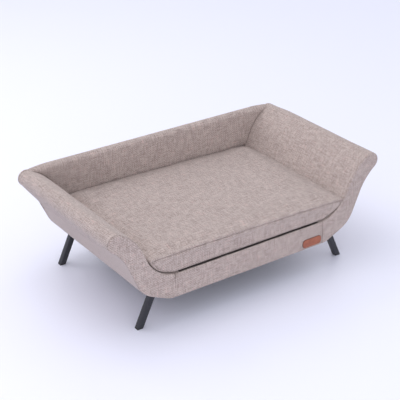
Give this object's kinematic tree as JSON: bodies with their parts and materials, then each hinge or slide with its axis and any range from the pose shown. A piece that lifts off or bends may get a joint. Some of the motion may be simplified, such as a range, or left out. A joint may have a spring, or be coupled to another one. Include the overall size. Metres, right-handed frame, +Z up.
{
  "type": "pet sofa bed",
  "caption": "Small upholstered sofa bed for a pet: padded tub with flared arms and straight back on splayed steel legs, with a lift-out seat cushion.",
  "frame": {"origin": "on the floor under the middle of the bed", "axes": "+Z up, +X towards the right arm seen from the front, +Y towards the back; the open front faces -Y"},
  "size_m": [0.804, 0.4398, 0.2847],
  "materials": {
    "plywood": "unfinished, inside the cover",
    "softwood": "sawn, inside the cover",
    "hardboard": "bent hardboard, inside the cover",
    "zinc_steel": "zinc plated",
    "wadding": "polyester wadding",
    "foam": "polyurethane foam",
    "woven_cloth": "linen-look weave, matt",
    "smooth_cloth": "close plain weave, matt",
    "lining_cloth": "non-woven lining",
    "leather": "smooth, semi-matt",
    "black_steel": "black powder coat, satin",
    "foot_plastic": "matt",
    "zip_tape": "woven tape",
    "zip_coil": "nylon coil"
  },
  "bodies": {
    "frame": {"front_board": "plywood", "back_board": "plywood", "deck_board": "plywood", "centre_joist": "softwood", "left_base_rail": "softwood", "right_base_rail": "softwood", "front_left_leg_block": "softwood", "front_right_leg_block": "softwood", "rear_left_leg_block": "softwood", "rear_right_leg_block": "softwood", "left_arm_panel": "plywood", "right_arm_panel": "plywood", "left_arm_top_rail": "softwood", "right_arm_top_rail": "softwood", "left_side_shell": "hardboard", "right_side_shell": "hardboard", "frame_screws": "zinc_steel", "front_wadding": "wadding", "back_wadding": "wadding", "left_arm_foam": "foam", "right_arm_foam": "foam", "deck_pad": "foam", "back_foam": "foam", "left_arm_cover": "woven_cloth", "right_arm_cover": "woven_cloth", "left_side_cover": "smooth_cloth", "right_side_cover": "smooth_cloth", "left_front_facing": "woven_cloth", "right_front_facing": "woven_cloth", "front_rail_facing": "woven_cloth", "back_inner_cover": "woven_cloth", "back_outer_cover": "woven_cloth", "deck_cover": "lining_cloth", "dust_cover": "lining_cloth", "dust_cover_staples": "zinc_steel", "leather_label": "leather", "front_left_leg": "black_steel", "front_right_leg": "black_steel", "rear_left_leg": "black_steel", "rear_right_leg": "black_steel", "front_left_foot_cap": "foot_plastic", "front_right_foot_cap": "foot_plastic", "rear_left_foot_cap": "foot_plastic", "rear_right_foot_cap": "foot_plastic", "leg_screws": "zinc_steel"},
    "seat_cushion": {"seat_cushion_foam": "foam", "seat_cushion_top_panel": "woven_cloth", "seat_cushion_base_panel": "woven_cloth", "seat_cushion_front_panel": "woven_cloth", "seat_cushion_back_panel_upper": "woven_cloth", "seat_cushion_back_panel_lower": "woven_cloth", "zip_tape": "zip_tape", "zip_coil": "zip_coil"},
    "zip_slider": {"zip_slider": "zinc_steel", "zip_pull": "zinc_steel"}
  },
  "joints": [
    {"name": "seat_cushion_lift", "type": "slide", "parent": "frame", "child": "seat_cushion", "axis": [0, 0, 1], "range_m": [0, 0.16]},
    {"name": "zip_slide", "type": "slide", "parent": "seat_cushion", "child": "zip_slider", "axis": [-1, 0, 0], "range_m": [0, 0.45]}
  ]
}
